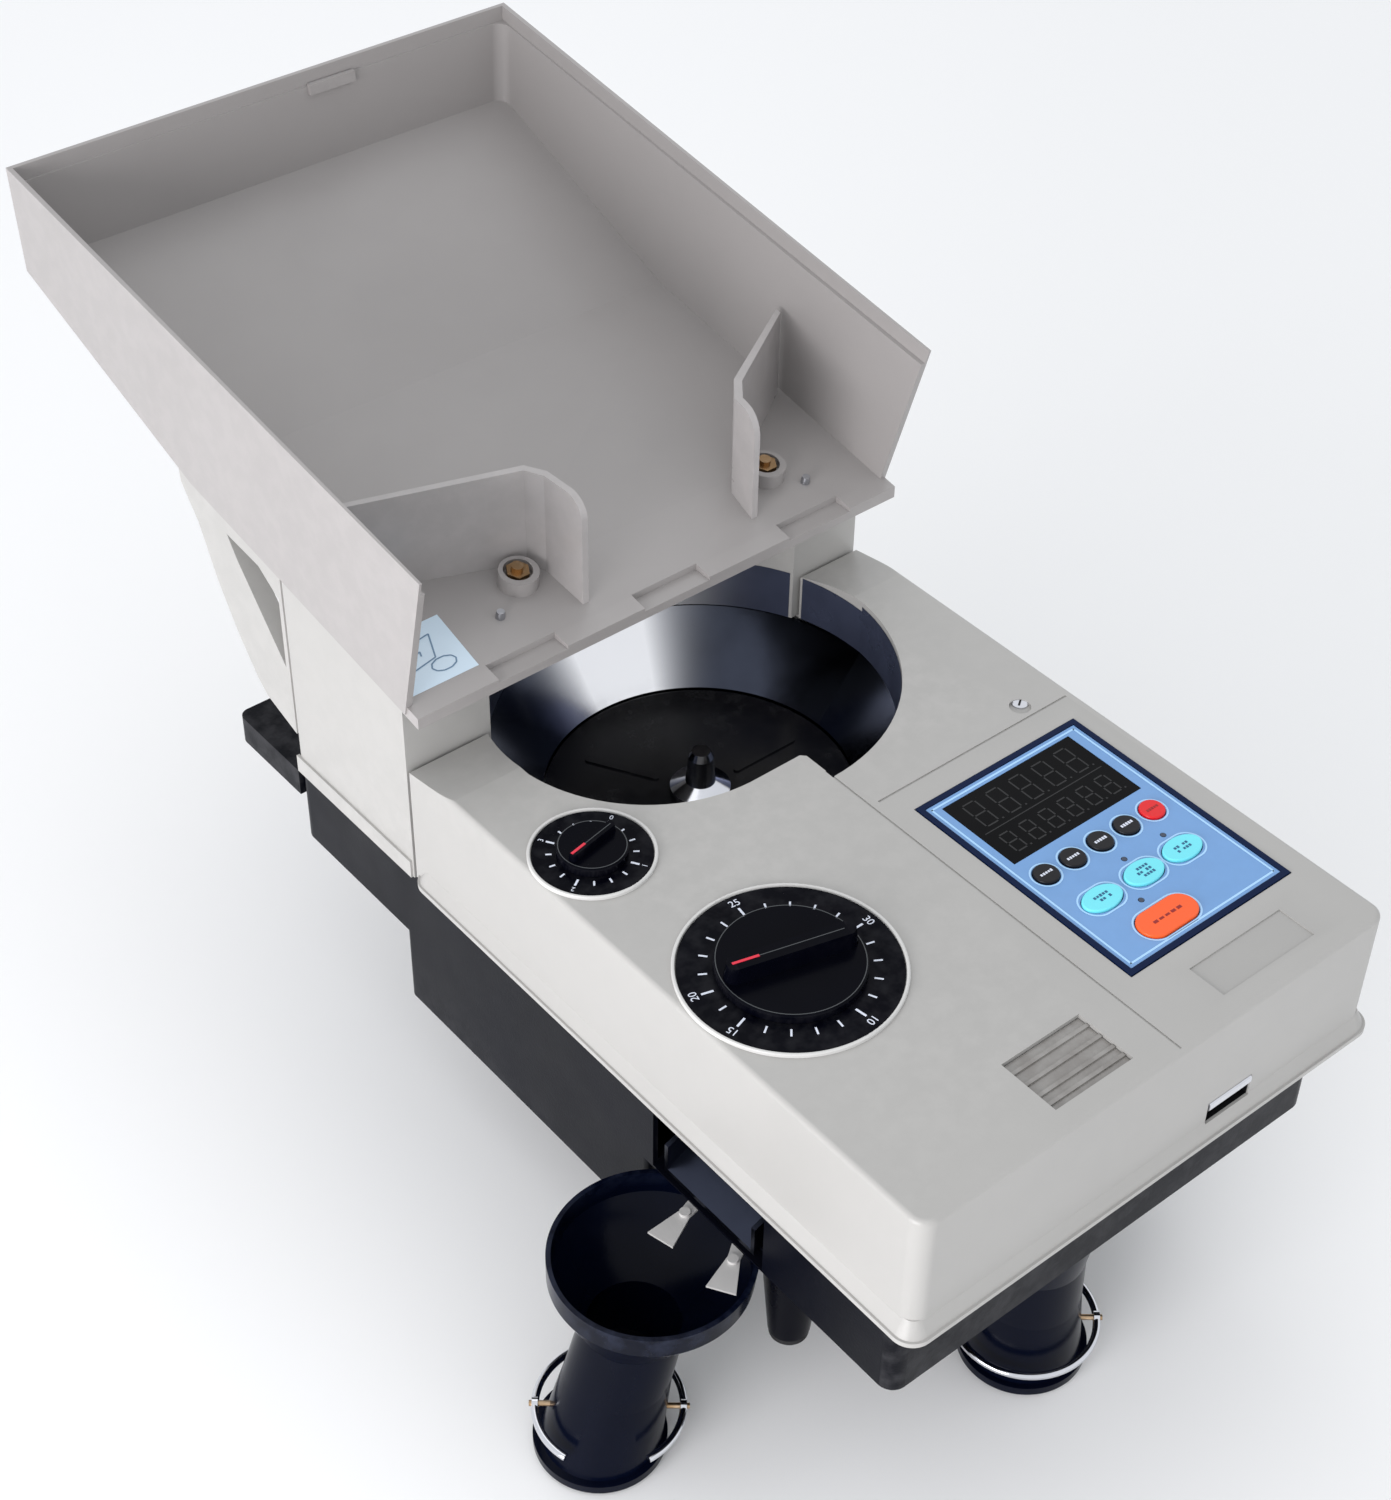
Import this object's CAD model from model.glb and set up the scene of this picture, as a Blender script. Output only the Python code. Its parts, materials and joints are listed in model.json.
import json
import math
import random

import bmesh
import bpy
from mathutils import Matrix, Vector


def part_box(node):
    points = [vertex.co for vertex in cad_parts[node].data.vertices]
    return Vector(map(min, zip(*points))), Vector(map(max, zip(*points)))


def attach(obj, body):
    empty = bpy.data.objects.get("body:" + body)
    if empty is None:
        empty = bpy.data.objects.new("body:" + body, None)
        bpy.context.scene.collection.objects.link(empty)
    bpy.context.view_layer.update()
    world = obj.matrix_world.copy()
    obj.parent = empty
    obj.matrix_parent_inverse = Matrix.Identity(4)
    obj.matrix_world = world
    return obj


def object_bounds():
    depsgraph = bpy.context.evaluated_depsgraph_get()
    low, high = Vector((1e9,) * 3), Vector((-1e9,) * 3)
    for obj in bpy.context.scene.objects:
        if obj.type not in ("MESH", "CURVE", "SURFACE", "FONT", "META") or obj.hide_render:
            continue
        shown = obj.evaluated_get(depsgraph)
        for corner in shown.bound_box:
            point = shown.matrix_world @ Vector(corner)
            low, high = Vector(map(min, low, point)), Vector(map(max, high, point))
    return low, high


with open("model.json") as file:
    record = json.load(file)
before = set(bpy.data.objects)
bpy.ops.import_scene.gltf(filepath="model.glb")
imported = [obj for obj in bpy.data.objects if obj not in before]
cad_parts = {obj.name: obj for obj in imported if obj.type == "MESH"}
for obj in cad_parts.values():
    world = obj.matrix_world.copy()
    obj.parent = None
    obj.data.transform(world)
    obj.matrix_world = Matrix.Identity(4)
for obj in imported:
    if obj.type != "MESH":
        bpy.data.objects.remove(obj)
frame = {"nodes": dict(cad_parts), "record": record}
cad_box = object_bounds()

MM = 0.001
scene = bpy.context.scene


# ---------------------------------------------------------------- shader node groups
def new_group(name, inputs, outputs):
    """Empty shader node group with named sockets: (name, type, default)."""
    group = bpy.data.node_groups.new(name, "ShaderNodeTree")
    for label, kind, default in inputs:
        socket = group.interface.new_socket(name=label, in_out="INPUT", socket_type=kind)
        socket.default_value = default
    for label, kind in outputs:
        group.interface.new_socket(name=label, in_out="OUTPUT", socket_type=kind)
    entry = group.nodes.new("NodeGroupInput")
    leave = group.nodes.new("NodeGroupOutput")
    return group, entry, leave


def math_node(tree, operation, first, second=None, clamp=False):
    """Math node fed by sockets or plain numbers; returns its output."""
    node = tree.nodes.new("ShaderNodeMath")
    node.operation = operation
    node.use_clamp = clamp
    for index, value in enumerate((first, second)):
        if value is None:
            continue
        if isinstance(value, (int, float)):
            node.inputs[index].default_value = value
        else:
            tree.links.new(value, node.inputs[index])
    return node.outputs[0]


def noise_node(tree, vector, scale, detail=3.0, roughness=0.55):
    """Noise texture on a vector; scale may be a socket."""
    node = tree.nodes.new("ShaderNodeTexNoise")
    node.inputs["Detail"].default_value = detail
    node.inputs["Roughness"].default_value = roughness
    if isinstance(scale, (int, float)):
        node.inputs["Scale"].default_value = scale
    else:
        tree.links.new(scale, node.inputs["Scale"])
    if vector is not None:
        tree.links.new(vector, node.inputs["Vector"])
    return node.outputs["Fac"]


def range_node(tree, value, low, high, to_low=0.0, to_high=1.0):
    """Map Range node, clamped."""
    node = tree.nodes.new("ShaderNodeMapRange")
    tree.links.new(value, node.inputs["Value"])
    for label, number in (("From Min", low), ("From Max", high), ("To Min", to_low), ("To Max", to_high)):
        if isinstance(number, (int, float)):
            node.inputs[label].default_value = number
        else:
            tree.links.new(number, node.inputs[label])
    return node.outputs["Result"]


def object_point(tree):
    """Object coordinates, which are the machine's own frame on every piece."""
    return tree.nodes.new("ShaderNodeTexCoord").outputs["Object"]


def build_grain():
    """Fine moulded or sprayed grain: height for a bump and a colour shift mask."""
    group, entry, leave = new_group(
        "surface_grain", [("Scale", "NodeSocketFloat", 900.0), ("Patch Scale", "NodeSocketFloat", 14.0)],
        [("Height", "NodeSocketFloat"), ("Patches", "NodeSocketFloat")])
    point = object_point(group)
    fine = noise_node(group, point, entry.outputs["Scale"], 2.0, 0.5)
    coarse = noise_node(group, point, entry.outputs["Patch Scale"], 4.0, 0.6)
    group.links.new(fine, leave.inputs["Height"])
    group.links.new(range_node(group, coarse, 0.3, 0.7), leave.inputs["Patches"])
    return group


def build_edge_wear():
    """Mask of rubbed outside edges, broken up by noise, and of grime in the creases."""
    group, entry, leave = new_group(
        "edge_wear", [("Amount", "NodeSocketFloat", 0.5), ("Break Scale", "NodeSocketFloat", 120.0)],
        [("Edges", "NodeSocketFloat"), ("Creases", "NodeSocketFloat")])
    geometry = group.nodes.new("ShaderNodeNewGeometry")
    point = object_point(group)
    broken = noise_node(group, point, entry.outputs["Break Scale"], 3.0, 0.6)
    edge = range_node(group, geometry.outputs["Pointiness"], 0.53, 0.62)
    edge = math_node(group, "MULTIPLY", edge, range_node(group, broken, 0.4, 0.65))
    edge = math_node(group, "MULTIPLY", edge, entry.outputs["Amount"], True)
    crease = range_node(group, geometry.outputs["Pointiness"], 0.47, 0.38)
    crease = math_node(group, "MULTIPLY", crease, entry.outputs["Amount"], True)
    group.links.new(edge, leave.inputs["Edges"])
    group.links.new(crease, leave.inputs["Creases"])
    return group


def build_dust():
    """Thin dust that settles on surfaces that face up."""
    group, entry, leave = new_group(
        "settled_dust", [("Amount", "NodeSocketFloat", 0.3)], [("Mask", "NodeSocketFloat")])
    geometry = group.nodes.new("ShaderNodeNewGeometry")
    split = group.nodes.new("ShaderNodeSeparateXYZ")
    group.links.new(geometry.outputs["Normal"], split.inputs[0])
    up = range_node(group, split.outputs["Z"], 0.2, 0.95)
    cloud = range_node(group, noise_node(group, object_point(group), 22.0, 5.0, 0.62), 0.42, 0.72)
    mask = math_node(group, "MULTIPLY", up, cloud)
    mask = math_node(group, "MULTIPLY", mask, entry.outputs["Amount"], True)
    group.links.new(mask, leave.inputs["Mask"])
    return group


def build_smudges():
    """Soft finger and wipe marks that vary the gloss."""
    group, entry, leave = new_group(
        "wipe_smudges", [("Base Roughness", "NodeSocketFloat", 0.3), ("Spread", "NodeSocketFloat", 0.08)],
        [("Roughness", "NodeSocketFloat")])
    point = object_point(group)
    cloud = noise_node(group, point, 30.0, 4.0, 0.6)
    shift = math_node(group, "MULTIPLY", math_node(group, "SUBTRACT", cloud, 0.5), entry.outputs["Spread"])
    shift = math_node(group, "MULTIPLY", shift, 4.0)
    total = math_node(group, "ADD", entry.outputs["Base Roughness"], shift, True)
    group.links.new(total, leave.inputs["Roughness"])
    return group


def build_turning():
    """Turned or spun marks: fine rings round a vertical axis given in metres."""
    group, entry, leave = new_group(
        "turning_marks",
        [("Centre", "NodeSocketVector", (0.0, 0.0, 0.0)), ("Rings", "NodeSocketFloat", 2600.0)],
        [("Height", "NodeSocketFloat")])
    offset = group.nodes.new("ShaderNodeVectorMath")
    offset.operation = "SUBTRACT"
    group.links.new(object_point(group), offset.inputs[0])
    group.links.new(entry.outputs["Centre"], offset.inputs[1])
    split = group.nodes.new("ShaderNodeSeparateXYZ")
    group.links.new(offset.outputs[0], split.inputs[0])
    flat = group.nodes.new("ShaderNodeCombineXYZ")
    group.links.new(split.outputs["X"], flat.inputs["X"])
    group.links.new(split.outputs["Y"], flat.inputs["Y"])
    length = group.nodes.new("ShaderNodeVectorMath")
    length.operation = "LENGTH"
    group.links.new(flat.outputs[0], length.inputs[0])
    line = group.nodes.new("ShaderNodeCombineXYZ")
    group.links.new(length.outputs["Value"], line.inputs["X"])
    group.links.new(split.outputs["Z"], line.inputs["Y"])
    rings = noise_node(group, line.outputs[0], entry.outputs["Rings"], 2.0, 0.7)
    group.links.new(rings, leave.inputs["Height"])
    return group


def build_sheen():
    """Bright fan that spun metal shows on one side of its axis, with a weaker one facing it."""
    group, entry, leave = new_group(
        "spun_sheen",
        [("Centre", "NodeSocketVector", (0.0, 0.0, 0.0)), ("Toward", "NodeSocketVector", (0.0, 1.0, 0.0)),
         ("Tightness", "NodeSocketFloat", 14.0)],
        [("Mask", "NodeSocketFloat")])
    offset = group.nodes.new("ShaderNodeVectorMath")
    offset.operation = "SUBTRACT"
    group.links.new(object_point(group), offset.inputs[0])
    group.links.new(entry.outputs["Centre"], offset.inputs[1])
    flat = group.nodes.new("ShaderNodeVectorMath")
    flat.operation = "MULTIPLY"
    group.links.new(offset.outputs[0], flat.inputs[0])
    flat.inputs[1].default_value = (1, 1, 0)
    unit = group.nodes.new("ShaderNodeVectorMath")
    unit.operation = "NORMALIZE"
    group.links.new(flat.outputs[0], unit.inputs[0])
    along = group.nodes.new("ShaderNodeVectorMath")
    along.operation = "DOT_PRODUCT"
    group.links.new(unit.outputs[0], along.inputs[0])
    group.links.new(entry.outputs["Toward"], along.inputs[1])
    near = math_node(group, "MAXIMUM", along.outputs["Value"], 0.0)
    near = math_node(group, "POWER", near, entry.outputs["Tightness"])
    near = math_node(group, "MULTIPLY", near, 1.8, True)
    far = math_node(group, "MAXIMUM", math_node(group, "MULTIPLY", along.outputs["Value"], -1.0), 0.0)
    far = math_node(group, "POWER", far, entry.outputs["Tightness"])
    far = math_node(group, "MULTIPLY", far, 0.35)
    group.links.new(math_node(group, "ADD", near, far, True), leave.inputs["Mask"])
    return group


GRAIN = build_grain()
WEAR = build_edge_wear()
DUST = build_dust()
SMUDGES = build_smudges()
TURNING = build_turning()
SHEEN = build_sheen()


def place_group(tree, group, **values):
    """Puts a shared node group into a material with its own values."""
    node = tree.nodes.new("ShaderNodeGroup")
    node.node_tree = group
    for label, value in values.items():
        node.inputs[label.replace("_", " ")].default_value = value
    return node


def mix_colour(tree, mask, first, second):
    """Colour mix by a mask; each side is a colour or a socket."""
    node = tree.nodes.new("ShaderNodeMix")
    node.data_type = "RGBA"
    tree.links.new(mask, node.inputs["Factor"])
    for index, value in ((6, first), (7, second)):
        if isinstance(value, (tuple, list)):
            node.inputs[index].default_value = (*value[:3], 1.0)
        else:
            tree.links.new(value, node.inputs[index])
    return node.outputs[2]


def shade(colour, factor):
    """The colour made lighter or darker."""
    return tuple(min(1.0, c * factor) for c in colour)


def finish_material(name, colour, roughness=0.4, metallic=0.0, grain=900.0, grain_depth=0.02, patch=0.06,
                    wear=0.4, worn=None, dust=0.15, spread=0.06, coat=0.0, coat_roughness=0.1, specular=0.5,
                    turning=None, sheen=None):
    """Procedural material with grain, patches, worn edges, dust and smudges."""
    made = bpy.data.materials.new(name)
    made.use_nodes = True
    tree = made.node_tree
    shader = tree.nodes["Principled BSDF"]
    texture = place_group(tree, GRAIN, Scale=grain)
    edges = place_group(tree, WEAR, Amount=wear)
    settled = place_group(tree, DUST, Amount=dust)
    smudge = place_group(tree, SMUDGES, Base_Roughness=roughness, Spread=spread)
    base = mix_colour(tree, texture.outputs["Patches"], shade(colour, 1.0 - patch),
                      shade(colour, 1.0 + patch))
    if sheen is not None:
        fan = place_group(tree, SHEEN, Centre=turning, Toward=sheen, Tightness=26.0)
        base = mix_colour(tree, fan.outputs["Mask"], base, (0.86, 0.86, 0.88))
    rubbed = mix_colour(tree, edges.outputs["Edges"], base, worn or shade(colour, 1.35))
    grimy = mix_colour(tree, edges.outputs["Creases"], rubbed, shade(colour, 0.55))
    dusty = mix_colour(tree, settled.outputs["Mask"], grimy, (0.55, 0.54, 0.51))
    tree.links.new(dusty, shader.inputs["Base Color"])
    tree.links.new(smudge.outputs["Roughness"], shader.inputs["Roughness"])
    shader.inputs["Metallic"].default_value = metallic
    shader.inputs["Specular IOR Level"].default_value = specular
    shader.inputs["Coat Weight"].default_value = coat
    shader.inputs["Coat Roughness"].default_value = coat_roughness
    bump = tree.nodes.new("ShaderNodeBump")
    bump.inputs["Distance"].default_value = 0.0004
    bump.inputs["Strength"].default_value = grain_depth * 4
    height = texture.outputs["Height"]
    if turning is not None:
        rings = place_group(tree, TURNING, Centre=turning)
        height = math_node(tree, "ADD", math_node(tree, "MULTIPLY", height, 0.3), rings.outputs["Height"])
    tree.links.new(height, bump.inputs["Height"])
    tree.links.new(bump.outputs["Normal"], shader.inputs["Normal"])
    return made


# ---------------------------------------------------------------- finishes of this machine
bowl_low, bowl_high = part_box("bowl_ring")
BOWL = (bowl_low + bowl_high) / 2
BOWL_CENTRE = (BOWL.x, BOWL.y, 0.0)

BLACK_EDGE = (0.045, 0.045, 0.05)
FINISHES = {
    "cover_paint": finish_material(
        "grey_sprayed_cover", (0.405, 0.397, 0.382), 0.38, grain=1500, grain_depth=0.012, patch=0.02,
        wear=0.2, dust=0.04, coat=0.12, coat_roughness=0.25),
    "base_black": finish_material(
        "black_textured_base", (0.0022, 0.0026, 0.0055), 0.36, grain=1100, grain_depth=0.03, patch=0.25,
        wear=0.5, worn=BLACK_EDGE, dust=0.002, specular=0.09),
    "black_plastic": finish_material(
        "black_moulding", (0.0010, 0.0012, 0.0035), 0.24, grain=1400, grain_depth=0.012, patch=0.2,
        wear=0.2, worn=BLACK_EDGE, dust=0.001, specular=0.04),
    "spout_black": finish_material(
        "glossy_black_spout", (0.0012, 0.0024, 0.009), 0.2, grain=700, grain_depth=0.01, patch=0.25,
        wear=0.3, worn=(0.04, 0.05, 0.09), dust=0.001, specular=0.09, coat=0.01, coat_roughness=0.12),
    "rubber": finish_material(
        "foot_rubber", (0.012, 0.012, 0.013), 0.75, grain=1800, grain_depth=0.05, wear=0.2, specular=0.25),
    "sheet_steel": finish_material(
        "plated_sheet_steel", (0.42, 0.43, 0.46), 0.34, 1.0, grain=500, grain_depth=0.02, patch=0.08,
        wear=0.2, dust=0.05),
    "polished_steel": finish_material(
        "polished_bowl_steel", (0.042, 0.048, 0.068), 0.15, 1.0, grain=300, grain_depth=0.006, patch=0.3,
        wear=0.1, dust=0.0, turning=BOWL_CENTRE, sheen=(0.17, 0.985, 0)),
    "chrome": finish_material(
        "chromed_wire", (0.70, 0.71, 0.75), 0.10, 1.0, grain=600, grain_depth=0.006, patch=0.08, wear=0.1,
        dust=0.02),
    "disc_black": finish_material(
        "scuffed_black_disc", (0.006, 0.006, 0.008), 0.2, grain=800, grain_depth=0.02, patch=0.3, wear=0.4,
        worn=(0.08, 0.08, 0.08), dust=0.01, specular=0.4, turning=BOWL_CENTRE),
    "aluminium": finish_material(
        "turned_aluminium", (0.55, 0.55, 0.57), 0.32, 1.0, grain=500, grain_depth=0.02, patch=0.06,
        wear=0.1, dust=0.03),
    "belt": finish_material(
        "belt_rubber", (0.012, 0.012, 0.012), 0.7, grain=900, grain_depth=0.06, wear=0.2),
    "motor": finish_material(
        "motor_enamel", (0.07, 0.07, 0.08), 0.45, grain=900, grain_depth=0.03, patch=0.1),
    "board_green": finish_material(
        "circuit_board", (0.02, 0.13, 0.06), 0.3, grain=400, grain_depth=0.02, patch=0.2),
    "zinc_yellow": finish_material(
        "yellow_zinc", (0.42, 0.27, 0.14), 0.28, 1.0, grain=400, grain_depth=0.02, patch=0.2, wear=0.3,
        worn=(0.7, 0.62, 0.5), dust=0.02),
    "panel_blue": finish_material(
        "printed_blue_panel", (0.155, 0.325, 0.62), 0.32, grain=1600, grain_depth=0.005, patch=0.03,
        wear=0.1, dust=0.02, coat=0.15, coat_roughness=0.2),
    "panel_navy": finish_material(
        "printed_navy_border", (0.002, 0.010, 0.045), 0.4, grain=1600, grain_depth=0.005, patch=0.05,
        wear=0.1, dust=0.004, specular=0.1),
    "display_grey": finish_material(
        "dark_display_window", (0.002, 0.002, 0.0025), 0.24, grain=500, grain_depth=0.002, patch=0.1,
        wear=0.1, dust=0.003, specular=0.08),
    "digit_dark": finish_material(
        "unlit_digits", (0.026, 0.026, 0.027), 0.4, dust=0.0, wear=0.0, specular=0.2),
    "key_black": finish_material(
        "black_key", (0.004, 0.004, 0.006), 0.32, grain=1500, grain_depth=0.008, patch=0.1, wear=0.4,
        worn=BLACK_EDGE, dust=0.01, specular=0.3),
    "key_red": finish_material(
        "red_key", (0.72, 0.004, 0.008), 0.32, grain=1500, grain_depth=0.008, patch=0.05, wear=0.2,
        dust=0.01),
    "key_cyan": finish_material(
        "cyan_key", (0.17, 0.76, 0.86), 0.34, grain=1500, grain_depth=0.008, patch=0.03, wear=0.2,
        dust=0.01),
    "key_orange": finish_material(
        "orange_key", (0.93, 0.11, 0.012), 0.34, grain=1500, grain_depth=0.008, patch=0.04, wear=0.3,
        dust=0.01),
    "lamp_red": finish_material("lamp_lens", (0.02, 0.035, 0.07), 0.15, coat=0.5, dust=0.0),
    "smoked": finish_material(
        "window_over_the_track", (0.24, 0.225, 0.21), 0.2, grain=700, grain_depth=0.004, patch=0.12,
        wear=0.2, worn=(0.6, 0.6, 0.58), dust=0.03, coat=0.5, coat_roughness=0.08),
    "white_plastic": finish_material("white_moulding", (0.75, 0.75, 0.73), 0.4),
}
NODE_FINISHES = {
    "dial_bezels": finish_material(
        "pale_dial_rim", (0.60, 0.595, 0.58), 0.3, grain=1500, grain_depth=0.008, patch=0.02, wear=0.1,
        dust=0.02, coat=0.2),
    "hopper_tray": finish_material(
        "moulded_tray", (0.330, 0.312, 0.306), 0.34, grain=1500, grain_depth=0.010, patch=0.02, wear=0.2,
        dust=0.03, coat=0.18, coat_roughness=0.2),
    "coin_guides": finish_material(
        "moulded_guides", (0.385, 0.365, 0.360), 0.32, grain=1500, grain_depth=0.008, patch=0.02, wear=0.2,
        dust=0.02, coat=0.2, coat_roughness=0.2),
    "spout_clips": finish_material(
        "dull_zinc_clips", (0.55, 0.54, 0.53), 0.4, 0.1, grain=500, grain_depth=0.02, patch=0.15, wear=0.3,
        dust=0.02),
    "side_chute": finish_material(
        "shaded_chute_steel", (0.035, 0.04, 0.06), 0.3, 1.0, grain=300, grain_depth=0.02, patch=0.2,
        wear=0.2, dust=0.0),
}

slot_of = {row["node"]: row["material_slot"] for row in frame["record"]["subparts"]}
for label, node in frame["nodes"].items():
    node.data.materials.clear()
    node.data.materials.append(NODE_FINISHES.get(label) or FINISHES[slot_of[label]])
    for polygon in node.data.polygons:
        polygon.use_smooth = True
    with bpy.context.temp_override(object=node, active_object=node, selected_objects=[node],
                                   selected_editable_objects=[node]):
        bpy.ops.object.shade_smooth_by_angle(angle=math.radians(32))


# ---------------------------------------------------------------- mesh helpers
def add_piece(name, mesh, body, slot, smooth=True, angle=32):
    """Puts a finished mesh into the scene as a piece that rides on a body."""
    piece = bpy.data.objects.new(name, mesh)
    scene.collection.objects.link(piece)
    mesh.materials.append(FINISHES[slot] if isinstance(slot, str) else slot)
    if smooth:
        for polygon in mesh.polygons:
            polygon.use_smooth = True
        with bpy.context.temp_override(object=piece, active_object=piece, selected_objects=[piece],
                                       selected_editable_objects=[piece]):
            bpy.ops.object.shade_smooth_by_angle(angle=math.radians(angle))
    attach(piece, body)
    return piece


def mesh_from(name, build):
    """Mesh made by a function that fills a bmesh."""
    made = bmesh.new()
    build(made)
    bmesh.ops.recalc_face_normals(made, faces=made.faces)
    mesh = bpy.data.meshes.new(name)
    made.to_mesh(mesh)
    made.free()
    return mesh


def add_box(made, centre, size, turn=0.0):
    """Small box turned about the vertical through its centre."""
    result = bmesh.ops.create_cube(made, size=1.0)
    place = Matrix.Translation(Vector(centre)) @ Matrix.Rotation(turn, 4, "Z") @ Matrix.Diagonal((*size, 1.0))
    bmesh.ops.transform(made, matrix=place, verts=result["verts"])


def lathe(made, centre, profile, count=72):
    """Surface turned about a vertical axis through a closed profile of (radius, height) pairs."""
    rings = []
    for radius, height in profile:
        ring = []
        for step in range(count):
            angle = 2 * math.pi * step / count
            ring.append(made.verts.new((centre[0] + radius * math.cos(angle),
                                        centre[1] + radius * math.sin(angle), height)))
        rings.append(ring)
    for lower, upper in zip(rings, rings[1:] + rings[:1]):
        for step in range(count):
            after = (step + 1) % count
            made.faces.new((lower[step], lower[after], upper[after], upper[step]))


# ---------------------------------------------------------------- printed and small parts
WHITE_PRINT = finish_material(
    "white_print", (0.72, 0.76, 0.86), 0.45, patch=0.1, wear=0.0, dust=0.0, specular=0.3)
RED_PRINT = finish_material("red_pointer_print", (0.72, 0.02, 0.05), 0.45, patch=0.1, wear=0.0, dust=0.0)
GREY_PRINT = finish_material("grey_line_print", (0.045, 0.05, 0.055), 0.4, patch=0.1, wear=0.0, dust=0.0)
PALE_BLUE_PRINT = finish_material(
    "pale_blue_print", (0.40, 0.66, 0.95), 0.4, patch=0.03, wear=0.0, dust=0.0)
NAVY_PRINT = finish_material("navy_print", (0.01, 0.10, 0.22), 0.4, patch=0.05, wear=0.0, dust=0.0)
SLATE_PRINT = finish_material("slate_print", (0.16, 0.27, 0.40), 0.4, patch=0.05, wear=0.0, dust=0.0)
DARK_RED_PRINT = finish_material(
    "dark_red_print", (0.28, 0.006, 0.004), 0.4, patch=0.05, wear=0.0, dust=0.0)
LABEL_SHEET = finish_material(
    "label_sheet", (0.62, 0.76, 0.88), 0.35, grain=1200, grain_depth=0.004, patch=0.03, wear=0.0, dust=0.02,
    coat=0.3)
DARK_SLOT = finish_material("dark_slot", (0.004, 0.004, 0.005), 0.5, wear=0.0, dust=0.0, specular=0.2)

INK = 0.08 * MM
scales_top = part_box("dial_scales")[1].z


def turned(centre, radius, angle):
    """Point at a radius and angle from a centre, as (x, y)."""
    return centre.x + radius * math.cos(angle), centre.y + radius * math.sin(angle)


def add_number(made, text, size, place, turn, height):
    """Flat number laid on a horizontal face."""
    curve = bpy.data.curves.new("number", "FONT")
    curve.body = text
    curve.size = size
    curve.align_x, curve.align_y = "CENTER", "CENTER"
    holder = bpy.data.objects.new("number", curve)
    flat = bpy.data.meshes.new_from_object(holder)
    flat.transform(Matrix.Translation((place[0], place[1], height)) @ Matrix.Rotation(turn, 4, "Z"))
    made.from_mesh(flat)
    bpy.data.objects.remove(holder)
    bpy.data.curves.remove(curve)
    bpy.data.meshes.remove(flat)


def dial_marks(name, knob, start_angle, count, numbers, long_every, scale_gap, digit_size):
    """Ticks just outside a knob and numbers outside the long ticks."""
    centre = (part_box(knob)[0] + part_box(knob)[1]) / 2
    knob_radius = (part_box(knob)[1].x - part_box(knob)[0].x) / 2

    def build(made):
        for step in range(count):
            angle = start_angle - 2 * math.pi * step / count
            major = step % long_every == 0
            length = scale_gap * (0.36 if major else 0.25)
            middle = knob_radius + scale_gap * 0.17 + length / 2
            place = turned(centre, middle, angle)
            add_box(made, (*place, scales_top + INK / 2), (length, (0.9 if major else 0.75) * MM, INK), angle)
            if major and step // long_every < len(numbers):
                spot = turned(centre, knob_radius + scale_gap * 0.74, angle)
                add_number(made, numbers[step // long_every], digit_size, spot, angle - math.pi / 2,
                           scales_top + INK)

    add_piece(name, mesh_from(name, build), "cover", WHITE_PRINT, smooth=False)


dial_marks("diameter_scale_marks", "diameter_dial_knob", math.radians(164), 22,
           ("20", "25", "30", "10", "15"), 5, 13.6 * MM, 4.6 * MM)
dial_marks("thickness_scale_marks", "thickness_dial_knob", math.radians(212), 16,
           ("2", "3", "0", "1"), 4, 9.6 * MM, 3.2 * MM)


def knob_print(label, body, grip_angle, pointer_from, pointer_to):
    """Red pointer and a thin line on top of the grip, with a fine ring round the knob's plate."""
    low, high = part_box(label)
    centre = (low + high) / 2
    radius = (high.x - low.x) / 2
    plate_top = scales_top + 4.5 * MM

    def pointer(made):
        length = radius * (pointer_to - pointer_from)
        place = turned(centre, radius * (pointer_from + pointer_to) / 2, grip_angle)
        add_box(made, (*place, high.z + INK), (length, 1.1 * MM, 2 * INK), grip_angle)

    def line(made):
        add_box(made, (centre.x, centre.y, high.z + INK / 2), (radius * 1.5, 0.35 * MM, INK), grip_angle)
        inner, outer = radius - 0.9 * MM, radius - 0.55 * MM
        foot = plate_top + 0.02 * MM
        lathe(made, centre, [(inner, foot), (inner, plate_top + INK), (outer, plate_top + INK), (outer, foot)])

    add_piece(label + "_pointer", mesh_from(label + "_pointer", pointer), body, RED_PRINT, smooth=False)
    add_piece(label + "_line", mesh_from(label + "_line", line), body, GREY_PRINT, smooth=False)


knob_print("diameter_dial_knob", "diameter_dial", math.radians(165), 0.46, 0.84)
knob_print("thickness_dial_knob", "thickness_dial", math.radians(191), 0.30, 0.84)

# ---- digits of the display: unlit seven-stroke figures behind a divider
display_low, display_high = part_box("display_window")
SEGMENTS = ((0, 1, 0), (0, 0, 0), (0, -1, 0), (-0.5, 0.5, 1), (0.5, 0.5, 1), (-0.5, -0.5, 1), (0.5, -0.5, 1))


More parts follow.
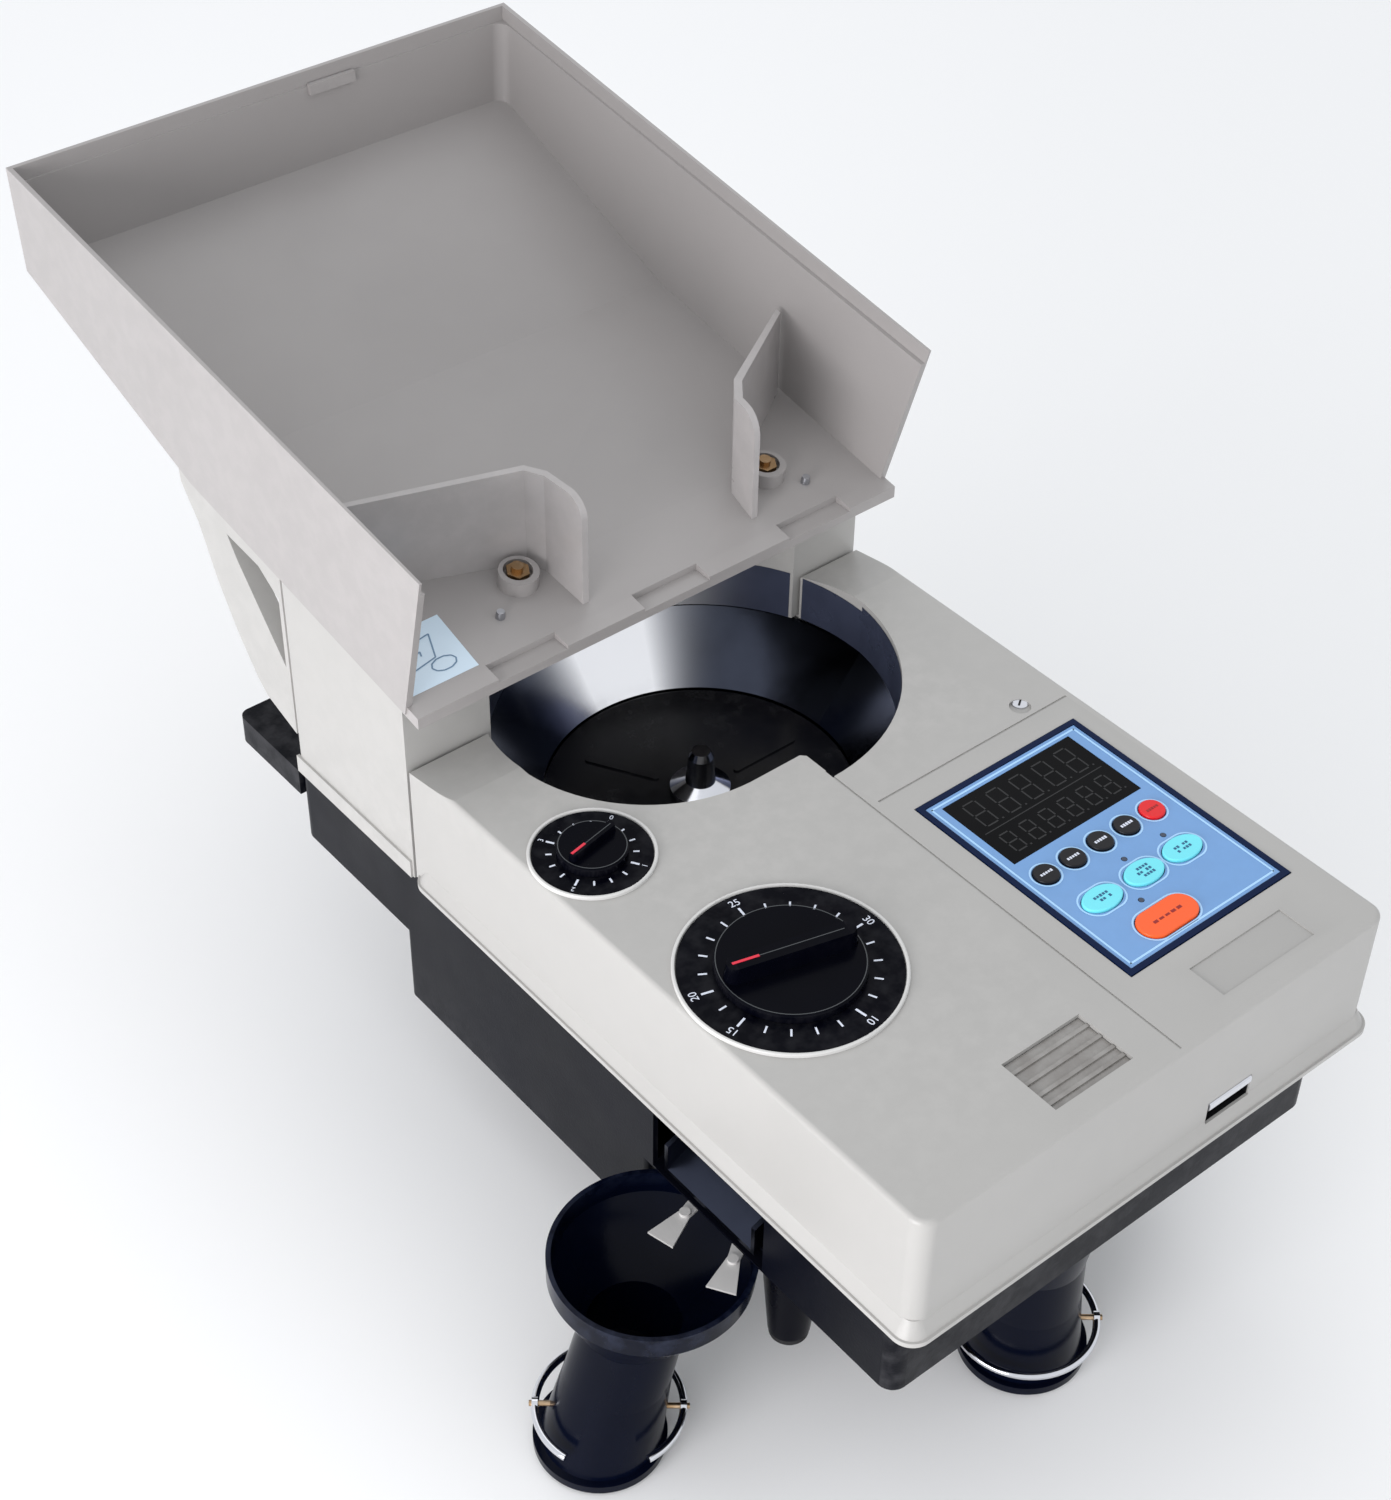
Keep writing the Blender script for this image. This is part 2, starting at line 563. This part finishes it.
def display_marks(made):
    """Two rows of unlit figures and the line between them."""
    width = display_high.x - display_low.x
    depth = display_high.y - display_low.y
    top = display_high.z + INK / 2
    for count, row, height in ((5, 0.72, 0.36), (6, 0.24, 0.27)):
        pitch = width * 0.9 / count
        tall = depth * height
        wide = pitch * 0.52
        for index in range(count):
            cx = display_low.x + width * 0.05 + pitch * (index + 0.5)
            cy = display_low.y + depth * row
            for dx, dy, upright in SEGMENTS:
                size = (0.7 * MM, tall / 2 - 1.1 * MM, INK) if upright else (wide - 1.1 * MM, 0.7 * MM, INK)
                add_box(made, (cx + dx * wide, cy + dy * tall / 2, top), size)
            add_box(made, (cx + wide * 0.82, cy - tall / 2, top), (0.8 * MM, 0.8 * MM, INK))
    add_box(made, ((display_low.x + display_high.x) / 2, display_low.y + depth * 0.47, top),
            (width * 0.92, 0.5 * MM, INK))


add_piece("unlit_display_figures", mesh_from("unlit_display_figures", display_marks), "cover", "digit_dark",
          smooth=False)

# ---- printed lines of the key panel
panel_low, panel_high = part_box("control_panel")
SAME_SPOT = 1e-7


def outline_ring(made, low, high, gap, width, height, corner):
    """Flat printed line round a rectangle with round corners."""
    def loop(grow):
        points = []
        half_x = (high.x - low.x) / 2 + grow
        half_y = (high.y - low.y) / 2 + grow
        round_off = min(corner + grow, half_x, half_y)
        for quarter, (sx, sy) in enumerate(((1, 1), (-1, 1), (-1, -1), (1, -1))):
            for step in range(9):
                angle = math.pi / 2 * (quarter + step / 8)
                points.append(made.verts.new((
                    (low.x + high.x) / 2 + sx * (half_x - round_off) + round_off * math.cos(angle),
                    (low.y + high.y) / 2 + sy * (half_y - round_off) + round_off * math.sin(angle), height)))
        return points

    inner, outer = loop(gap), loop(gap + width)
    for step in range(len(inner)):
        after = (step + 1) % len(inner)
        if max((ring[step].co - ring[after].co).length for ring in (inner, outer)) > SAME_SPOT:
            made.faces.new((inner[step], inner[after], outer[after], outer[step]))


# rows of bars on each key top
KEYS = {"key_count": 1, "key_batch": 1, "key_total": 1, "key_mode": 1, "key_clear": 1,
        "key_up": 2, "key_speed": 3, "key_down": 2, "key_start": 1}


def panel_print(made):
    """Pale lines inside the border and round every key."""
    top = panel_high.z + INK
    outline_ring(made, panel_low, panel_high, -2.2 * MM, 0.9 * MM, top, 1.5 * MM)
    for key in KEYS:
        low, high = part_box(key)
        side = min(high.x - low.x, high.y - low.y) / 2
        outline_ring(made, low, high, -0.2 * MM, 0.75 * MM, top, side - 0.01 * MM)


add_piece("panel_pale_lines", mesh_from("panel_pale_lines", panel_print), "cover", PALE_BLUE_PRINT,
          smooth=False)


def key_mark(key, rows, finish):
    """Short plain bars on a key top."""
    low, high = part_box(key)
    centre = (low + high) / 2
    reach = (high.x - low.x) * (0.30 if rows > 1 else 0.42)

    def build(made):
        rng = random.Random(key)
        for row in range(rows):
            cy = centre.y + (row - (rows - 1) / 2) * 2.1 * MM
            count = 3 if reach < 5 * MM else 5
            step = 2 * reach / count / 2
            for index in range(count):
                if rows > 1 and rng.random() < 0.15:
                    continue
                cx = centre.x + (index - (count - 1) / 2) * step * 1.25
                tall = min(1.3 * MM, (high.y - low.y) * 0.14) * rng.uniform(0.75, 1.1)
                add_box(made, (cx, cy, high.z + INK / 2), (step * 0.85, tall, INK))

    body = key.replace("key_", "") + "_key"
    add_piece(key + "_mark", mesh_from(key + "_mark", build), body, finish, smooth=False)


for key, rows in KEYS.items():
    slot_name = slot_of[key]
    key_mark(key, rows, {"key_black": WHITE_PRINT, "key_cyan": NAVY_PRINT}.get(slot_name, DARK_RED_PRINT))

# ---- lock screw behind the panel
deck = frame["nodes"]["deck_cover"]
tray = frame["nodes"]["hopper_tray"]


def drop_on(node, x, y, from_z=0.5):
    """Height and normal of the first face of a node met when coming down at (x, y)."""
    found, place, normal, _ = node.ray_cast(Vector((x, y, from_z)), Vector((0, 0, -1)))
    return (place, normal) if found else (None, None)


frame_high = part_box("panel_frame")[1]
SCREW_X = frame_high.x - 11.2 * MM
SCREW_Y = frame_high.y + 19.3 * MM


def slotted_screw(made, place, normal, radius, height, slot_turn):
    """Small slotted screw head that sits on a face."""
    profile = [(radius * 0.02, 0), (radius, 0), (radius, height * 0.55), (radius * 0.82, height),
               (radius * 0.02, height)]
    start = len(made.verts)
    lathe(made, Vector((0, 0, 0)), profile, 36)
    made.verts.ensure_lookup_table()
    head = made.verts[start:]
    turn = normal.to_track_quat("Z", "Y").to_matrix().to_4x4()
    bmesh.ops.transform(made, matrix=Matrix.Translation(place) @ turn @ Matrix.Rotation(slot_turn, 4, "Z"),
                        verts=head)


screw_place, screw_normal = drop_on(deck, SCREW_X, SCREW_Y)
SCREW_HEIGHT = 1.2 * MM
SCREW_TURN = 0.6
add_piece("lock_screw", mesh_from("lock_screw", lambda made: slotted_screw(
    made, screw_place, screw_normal, 3.6 * MM, SCREW_HEIGHT, SCREW_TURN)), "cover", "chrome")
add_piece("lock_screw_slot", mesh_from("lock_screw_slot", lambda made: add_box(
    made, screw_place + Vector((0, 0, SCREW_HEIGHT)), (5.6 * MM, 0.9 * MM, 0.1 * MM), SCREW_TURN)), "cover",
    DARK_SLOT, smooth=False)

# ---- small screws and the plain label on the tray floor
nut_low, nut_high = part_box("guide_nuts")
tray_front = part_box("hopper_tray")[0].y
PIN_RADIUS = 2.0 * MM
PIN_HEIGHT = 3.4 * MM
for name, x, y in (("left_tray_pin", nut_low.x - 12.3 * MM, tray_front + 39.0 * MM),
                   ("right_tray_pin", nut_high.x + 7.3 * MM, tray_front + 34.5 * MM)):
    place, normal = drop_on(tray, x, y)
    add_piece(name, mesh_from(name, lambda made: slotted_screw(made, place, normal, PIN_RADIUS, PIN_HEIGHT, 0)),
              "base", "sheet_steel")

# millimetres from the left nut's outer side and from the tray's front edge
LABEL_CORNERS = ((-68.3, 22.5), (-34.8, 22.5), (-32.8, 53.5), (-66.3, 53.5))


def label_point(across, along, lift):
    """Point on the tray floor inside the label: 0 to 1 across and along."""
    a, b, c, d = (Vector((nut_low.x + x * MM, tray_front + y * MM)) for x, y in LABEL_CORNERS)
    flat = a.lerp(b, across).lerp(d.lerp(c, across), along)
    place, normal = drop_on(tray, flat.x, flat.y)
    return place + normal * lift


def label_sheet(made):
    """Thin plain sheet stuck on the floor."""
    grid = [[made.verts.new(label_point(i / 4, j / 4, 0.12 * MM)) for i in range(5)] for j in range(5)]
    for j in range(4):
        for i in range(4):
            made.faces.new((grid[j][i], grid[j][i + 1], grid[j + 1][i + 1], grid[j + 1][i]))


def label_strokes(made):
    """Loose line drawing of a tray and a bowl, made up."""
    tray_line = ((0.12, 0.30), (0.38, 0.72), (0.74, 0.78), (0.62, 0.40), (0.12, 0.30))
    bowl_line = tuple((0.66 + 0.17 * math.cos(a * 0.63), 0.26 + 0.11 * math.sin(a * 0.63)) for a in range(11))
    arrow_line = ((0.30, 0.50), (0.50, 0.58), (0.48, 0.50))
    for line in (tray_line, bowl_line, arrow_line):
        for (ax, ay), (bx, by) in zip(line, line[1:]):
            first, second = label_point(ax, ay, 0.2 * MM), label_point(bx, by, 0.2 * MM)
            side = (second - first).cross(Vector((0, 0, 1))).normalized() * 0.35 * MM
            corners = (first - side, second - side, second + side, first + side)
            made.faces.new([made.verts.new(corner) for corner in corners])


add_piece("plain_label", mesh_from("plain_label", label_sheet), "base", LABEL_SHEET, smooth=False)
add_piece("plain_label_drawing", mesh_from("plain_label_drawing", label_strokes), "base", SLATE_PRINT,
          smooth=False)

# ---- dark inside of the latch slot
latch_low, latch_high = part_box("front_latch")
SLOT_MIDDLE = (latch_low.x + latch_high.x) / 2
SLOT_WIDTH = 23.8 * MM
SLOT_DEPTH = 7.6 * MM
SLOT_DROP = 10.8 * MM
LINER = 0.3 * MM


def latch_slot(made):
    """Back and side liners of the slot below the latch bar."""
    front = latch_low.y + 1.4 * MM
    floor_z = latch_high.z - SLOT_DROP
    roof_z = latch_high.z + LINER
    middle_z = (floor_z + roof_z) / 2
    middle_y = front + SLOT_DEPTH / 2
    add_box(made, (SLOT_MIDDLE, front + SLOT_DEPTH, middle_z), (SLOT_WIDTH, LINER, roof_z - floor_z))
    add_box(made, (SLOT_MIDDLE, middle_y, floor_z + 0.2 * MM), (SLOT_WIDTH, SLOT_DEPTH, LINER))
    for side in (-1, 1):
        add_box(made, (SLOT_MIDDLE + side * (SLOT_WIDTH / 2 - 0.1 * MM), middle_y, middle_z),
                (LINER, SLOT_DEPTH, roof_z - floor_z))


add_piece("latch_slot_liner", mesh_from("latch_slot_liner", latch_slot), "cover", DARK_SLOT, smooth=False)

# ---- polished band that lines the bowl opening above the bowl
BAND_STEEL = finish_material(
    "shaded_band_steel", (0.082, 0.096, 0.155), 0.3, 0.45, grain=300, grain_depth=0.01, patch=0.3, wear=0.1,
    dust=0.0, turning=BOWL_CENTRE, sheen=(0.35, 0.936, 0))
band_low = bowl_high.z + 1.0 * MM
deck_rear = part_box("deck_cover")[1].y
house = frame["nodes"]["rear_housing"]
BAND_GAP = 0.15 * MM
STEP_DEGREES = 3


def band(made, node, from_angle, to_angle, high_z):
    """Thin curved sheet that follows the wall met when looking out from the bowl's axis."""
    start = Vector((BOWL.x, BOWL.y, band_low + 8 * MM))
    count = int(math.degrees(to_angle - from_angle) / STEP_DEGREES)
    rows = []
    for step in range(count + 1):
        angle = from_angle + (to_angle - from_angle) * step / count
        outward = Vector((math.cos(angle), math.sin(angle), 0))
        _, place, _, _ = node.ray_cast(start, outward)
        spot = place - outward * BAND_GAP
        rows.append((made.verts.new((spot.x, spot.y, band_low)), made.verts.new((spot.x, spot.y, high_z))))
    for first, second in zip(rows, rows[1:]):
        made.faces.new((first[0], second[0], second[1], first[1]))


WALL_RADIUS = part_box("bowl_ring")[1].x - BOWL.x
DECK_SPLIT = math.asin((deck_rear - 1.0 * MM - BOWL.y) / WALL_RADIUS)
HOUSE_SPLIT = math.asin((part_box("hinge_pins")[1].y + 6.0 * MM - BOWL.y) / WALL_RADIUS)


def deck_band(made):
    """Both ends of the band, carried by the deck."""
    top = scales_top - 5.6 * MM
    band(made, deck, -0.72, 0, top + 2.4 * MM)
    band(made, deck, 0, DECK_SPLIT, top)
    band(made, deck, math.pi - DECK_SPLIT, math.pi + 0.3, top)


def house_band(made):
    """Rear half of the band, on the housing under the tray."""
    band(made, house, HOUSE_SPLIT, math.pi - HOUSE_SPLIT, scales_top - 3.5 * MM)


add_piece("deck_band", mesh_from("deck_band", deck_band), "cover", BAND_STEEL)
add_piece("house_band", mesh_from("house_band", house_band), "base", BAND_STEEL)


# ---------------------------------------------------------------- floor, lights, camera
floor_finish = bpy.data.materials.new("pale_floor")
floor_finish.use_nodes = True
floor_finish.node_tree.nodes["Principled BSDF"].inputs["Base Color"].default_value = (0.9, 0.9, 0.9, 1)
floor_finish.node_tree.nodes["Principled BSDF"].inputs["Roughness"].default_value = 0.7
FLOOR_Z = cad_box[0].z - 0.001


def floor_mesh(made):
    """Large flat floor under the spouts."""
    corners = [made.verts.new((x, y, FLOOR_Z)) for x, y in ((-30, -30), (30, -30), (30, 30), (-30, 30))]
    made.faces.new(corners)


floor = bpy.data.objects.new("floor", mesh_from("floor", floor_mesh))
floor.data.materials.append(floor_finish)
scene.collection.objects.link(floor)

world = bpy.data.worlds.new("soft_studio")
scene.world = world
world.use_nodes = True
world.node_tree.nodes["Background"].inputs["Color"].default_value = (0.95, 0.97, 1.0, 1)
world.node_tree.nodes["Background"].inputs["Strength"].default_value = 0.95


def soft_light(name, place, target, size, power, colour=(1, 1, 1)):
    """Rectangular studio light that points at the machine."""
    lamp = bpy.data.lights.new(name, "AREA")
    lamp.shape = "RECTANGLE"
    lamp.size, lamp.size_y = size
    lamp.energy = power
    lamp.color = colour
    holder = bpy.data.objects.new(name, lamp)
    holder.location = place
    holder.rotation_mode = "QUATERNION"
    holder.rotation_quaternion = (Vector(target) - Vector(place)).to_track_quat("-Z", "Y")
    scene.collection.objects.link(holder)


soft_light("left_window_light", (-1.8, -0.45, 0.48), (-0.1, 0.0, 0.15), (1.3, 0.9), 30, (1.0, 0.985, 1.0))
soft_light("overhead_light", (0.2, 0.7, 1.9), (0, 0.05, 0.1), (1.4, 1.4), 3, (1.0, 0.99, 0.97))

camera = bpy.data.cameras.new("camera")
camera.lens = 62.3
camera.sensor_width = 36.0
camera.clip_start, camera.clip_end = 0.05, 100.0
eye = bpy.data.objects.new("camera", camera)
right = Vector((0.7726, -0.6348, 0.0145)).normalized()
ahead = Vector((0.4863, 0.5769, -0.6563)).normalized()
up = right.cross(ahead).normalized()
right = ahead.cross(up).normalized()
eye.matrix_world = Matrix((
    (right.x, up.x, -ahead.x, -0.5313),
    (right.y, up.y, -ahead.y, -0.5662),
    (right.z, up.z, -ahead.z, 0.8410),
    (0, 0, 0, 1)))
scene.collection.objects.link(eye)
scene.camera = eye
scene.view_settings.view_transform = "Standard"
